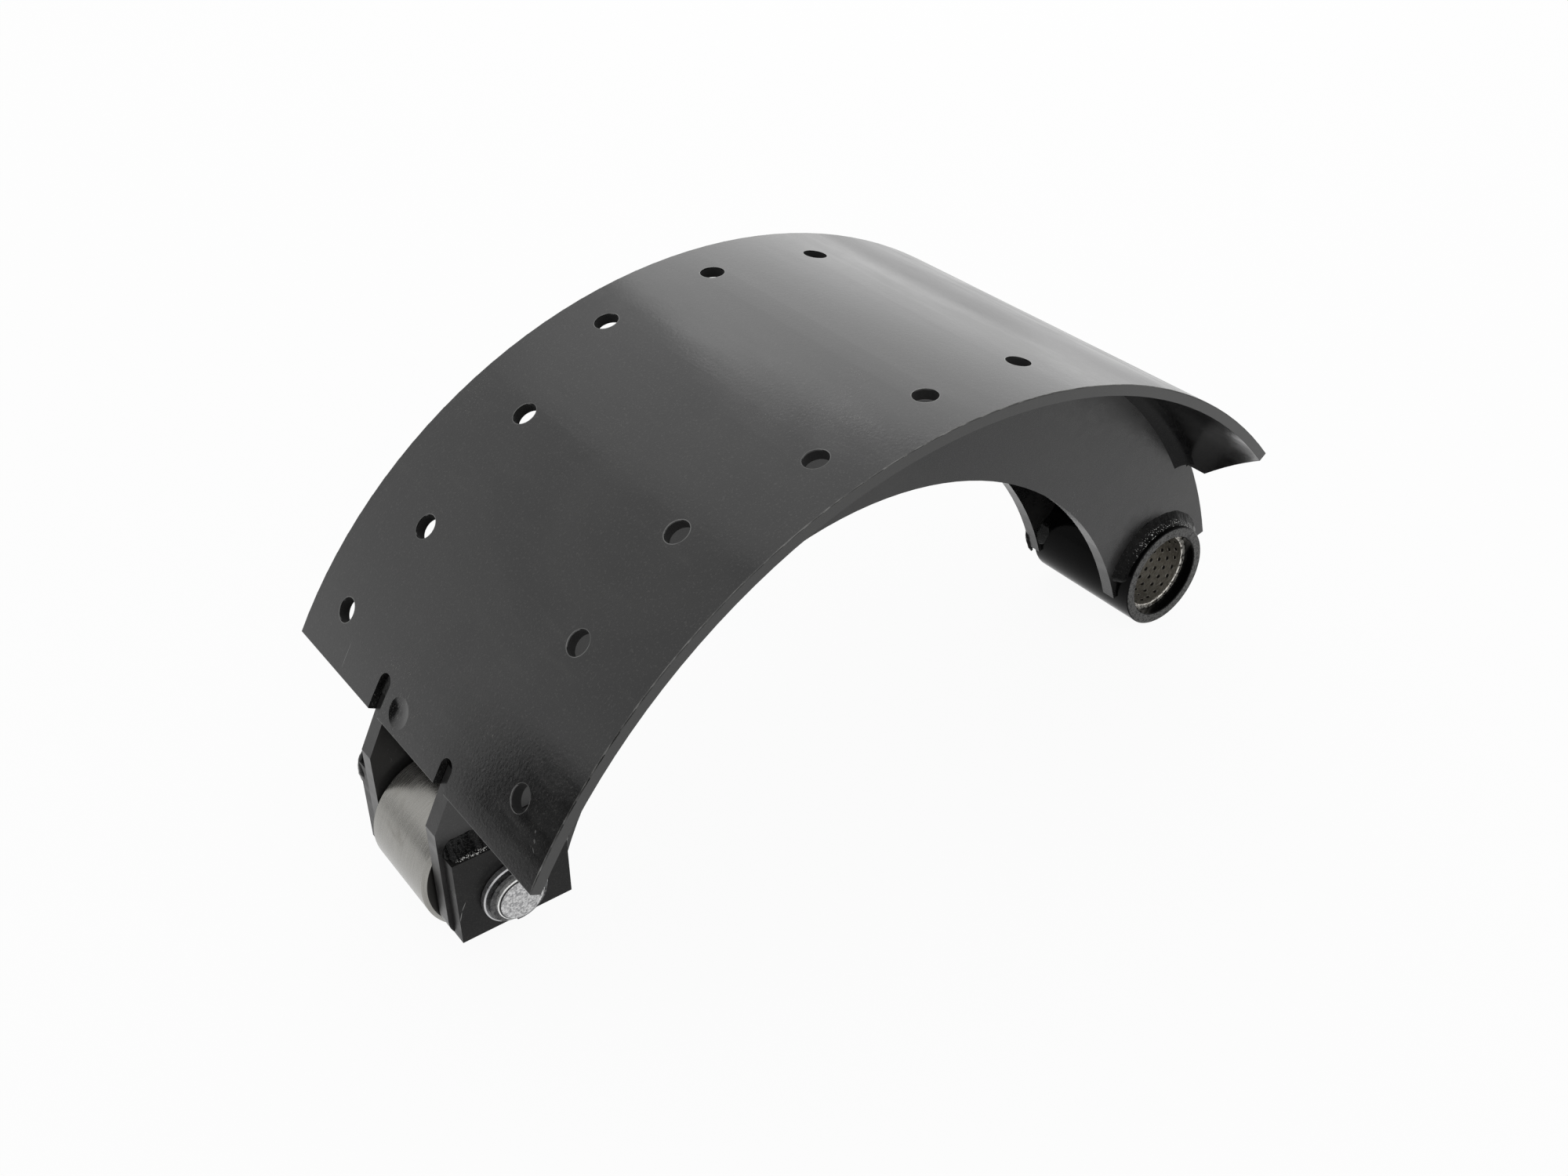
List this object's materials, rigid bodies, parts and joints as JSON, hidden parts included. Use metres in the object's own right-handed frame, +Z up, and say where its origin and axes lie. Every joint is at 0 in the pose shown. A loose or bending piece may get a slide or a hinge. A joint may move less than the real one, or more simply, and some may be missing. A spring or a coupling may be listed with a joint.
{
  "type": "brake shoe",
  "caption": "Curved drum brake shoe: rolled table on welded webs, rivet holes for linings, a cam roller on a pin at one end and a bushed anchor tube at the other.",
  "frame": {"origin": "on the anchor bore's axis, in the middle of the table's width", "axes": "+X is the long way, from the roller end to the anchor end, +Y along the anchor bore and the drum axis, +Z up as the shoe stands on its roller and anchor tube"},
  "size_m": [0.3554, 0.1536, 0.1655],
  "materials": {
    "table_paint": "satin",
    "web_paint": "satin",
    "doubler_paint": "satin",
    "tube_paint": "gloss",
    "weld_paint": "gloss",
    "bush_lining": "dimpled",
    "roller_steel": "ground",
    "pin_steel": "rough cut",
    "washer_steel": "satin",
    "clip_steel": "oiled"
  },
  "bodies": {
    "shoe": {"table": "table_paint", "web_near": "web_paint", "web_far": "web_paint", "doubler_near": "doubler_paint", "doubler_far": "doubler_paint", "anchor_tube": "tube_paint", "anchor_bush": "bush_lining", "roller_pin": "pin_steel", "washer_near": "washer_steel", "washer_far": "washer_steel", "circlip_near": "clip_steel", "circlip_far": "clip_steel", "weld_table_near": "weld_paint", "weld_table_far": "weld_paint", "weld_tube_near": "weld_paint", "weld_tube_far": "weld_paint", "weld_tube_inner": "weld_paint", "weld_doubler_near": "weld_paint", "weld_doubler_far": "weld_paint", "weld_slot_far": "weld_paint"},
    "roller_body": {"roller": "roller_steel"}
  },
  "joints": [
    {"name": "roller_spin", "type": "hinge", "parent": "shoe", "child": "roller_body", "pos_m": [-0.3017, 0, 0.001], "axis": [0, 1, 0], "continuous": true}
  ]
}
